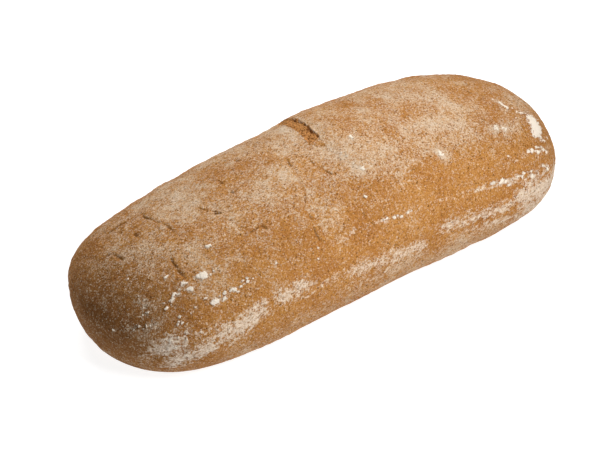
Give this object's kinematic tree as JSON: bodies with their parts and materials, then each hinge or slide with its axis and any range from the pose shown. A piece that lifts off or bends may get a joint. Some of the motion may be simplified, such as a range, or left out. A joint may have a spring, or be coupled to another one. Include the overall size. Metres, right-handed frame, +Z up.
{
  "type": "long hearth loaf",
  "caption": "Long brown loaf with blunt rounded ends, a flat underside to rest on and a baker's score across its flour-dusted crown.",
  "frame": {"origin": "under the middle of the loaf, on the surface that it rests on", "axes": "+X along the loaf towards its fuller end, +Y across it towards the side that the score runs down, +Z up"},
  "size_m": [0.33, 0.13, 0.086],
  "materials": {
    "crust": "matt brown crust, dusted with flour"
  },
  "bodies": {
    "root": {"loaf": "crust"}
  },
  "joints": []
}
